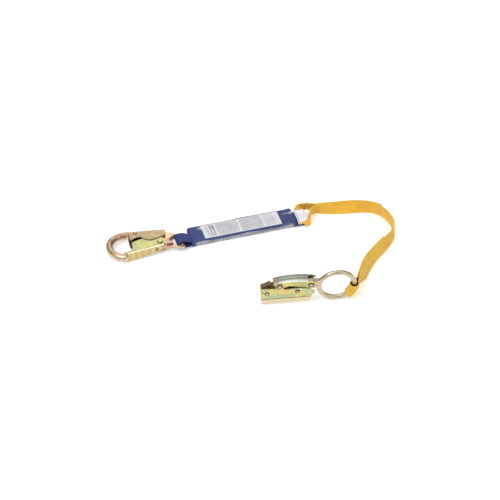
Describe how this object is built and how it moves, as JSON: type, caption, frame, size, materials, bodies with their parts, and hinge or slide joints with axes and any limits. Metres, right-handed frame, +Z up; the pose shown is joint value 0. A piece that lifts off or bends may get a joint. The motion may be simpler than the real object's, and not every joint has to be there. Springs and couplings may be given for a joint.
{
  "type": "shock absorbing lanyard",
  "caption": "Shock absorbing lanyard with a locking snap hook, tear webbing pack, webbing strap, ring and a rope grab with a cam.",
  "frame": {"origin": "centre of the footprint of everything but the strap, on the surface the lanyard lies on", "axes": "+Z up from that surface; +X along the energy absorber pack, from the snap hook towards the strap; the rope grab lies on the -Y side"},
  "size_m": [0.4788, 0.2627, 0.0665],
  "materials": {
    "plated_steel": "yellow zinc plated, faintly iridescent",
    "rivet_steel": "yellow zinc plated, satin",
    "spring_steel": "dark oiled",
    "cam_steel": "dark plated",
    "blue_webbing": "woven",
    "blue_thread": "thread",
    "gold_webbing": "ribbed weave",
    "tear_webbing": "woven, pale with dark lines",
    "backup_webbing": "woven",
    "clear_film": "clear film",
    "label": "printed film",
    "tag": "woven tag",
    "wear_pad": "dense weave"
  },
  "bodies": {
    "lanyard": {"tear_webbing": "tear_webbing", "backup_webbing": "backup_webbing", "pack_cover": "blue_webbing", "shrink_sleeve": "clear_film", "pack_stitching": "blue_thread", "pack_label": "label", "hook_wear_pad": "wear_pad", "hook_loop_webbing": "blue_webbing", "strap_loop_webbing": "blue_webbing", "strap_loop_tag": "tag", "strap_webbing": "gold_webbing", "strap_tail_pack": "gold_webbing", "strap_tail_ring": "gold_webbing", "strap_eye_pack": "gold_webbing", "strap_eye_ring": "gold_webbing", "eye_wear_sleeve": "wear_pad"},
    "hook": {"hook_body": "plated_steel", "hook_pivot_rivet": "rivet_steel", "hook_gate_spring": "spring_steel", "hook_lever_spring": "spring_steel"},
    "gate": {"hook_gate": "plated_steel"},
    "lever": {"hook_lock_lever": "plated_steel"},
    "ring": {"ring_link": "plated_steel"},
    "arm": {"ring_pin": "rivet_steel", "arm_plate_front": "plated_steel", "arm_plate_back": "plated_steel", "arm_cover": "plated_steel", "cam": "cam_steel", "cam_tie_pin": "rivet_steel"},
    "channel": {"grab_channel": "plated_steel", "grab_cheek_front": "plated_steel", "grab_cheek_back": "plated_steel", "grab_rivets": "rivet_steel", "grab_pivot_rivet": "rivet_steel", "grab_seat_pin": "rivet_steel", "grab_spring": "spring_steel"}
  },
  "joints": [
    {"name": "hook_swing", "type": "hinge", "parent": "lanyard", "child": "hook", "pos_m": [-0.05789, 0.08524, 0.0109], "axis": [0.1392, 0.9903, 0], "range_deg": [-75, 75]},
    {"name": "gate_pivot", "type": "hinge", "parent": "hook", "child": "gate", "pos_m": [-0.09452, 0.08332, 0.0109], "axis": [0, 0, 1], "range_deg": [0, 22], "stiffness_Nm_per_rad": 0.05, "springref_deg": -17.19, "deforming": ["hook_gate_spring"]},
    {"name": "lever_pivot", "type": "hinge", "parent": "hook", "child": "lever", "pos_m": [-0.09452, 0.08332, 0.0109], "axis": [0, 0, 1], "range_deg": [-3, 0], "stiffness_Nm_per_rad": 0.1, "springref_deg": 11.46, "deforming": ["hook_lever_spring"]},
    {"name": "ring_slide_round", "type": "hinge", "parent": "lanyard", "child": "ring", "pos_m": [0.1493, -0.11964, 0.03327], "axis": [-0.1589, -0.9808, -0.1132], "range_deg": [-70, 70]},
    {"name": "grab_on_ring", "type": "hinge", "parent": "ring", "child": "arm", "pos_m": [0.10694, -0.11155, 0.0438], "axis": [0.1956, 0.9731, 0.1217], "range_deg": [-25, 25]},
    {"name": "channel_open", "type": "hinge", "parent": "arm", "child": "channel", "pos_m": [0.05629, -0.10156, 0.04534], "axis": [0.1956, 0.9731, 0.1217], "range_deg": [0, 22], "stiffness_Nm_per_rad": 0.3, "springref_deg": -20.05, "deforming": ["grab_spring"]}
  ]
}
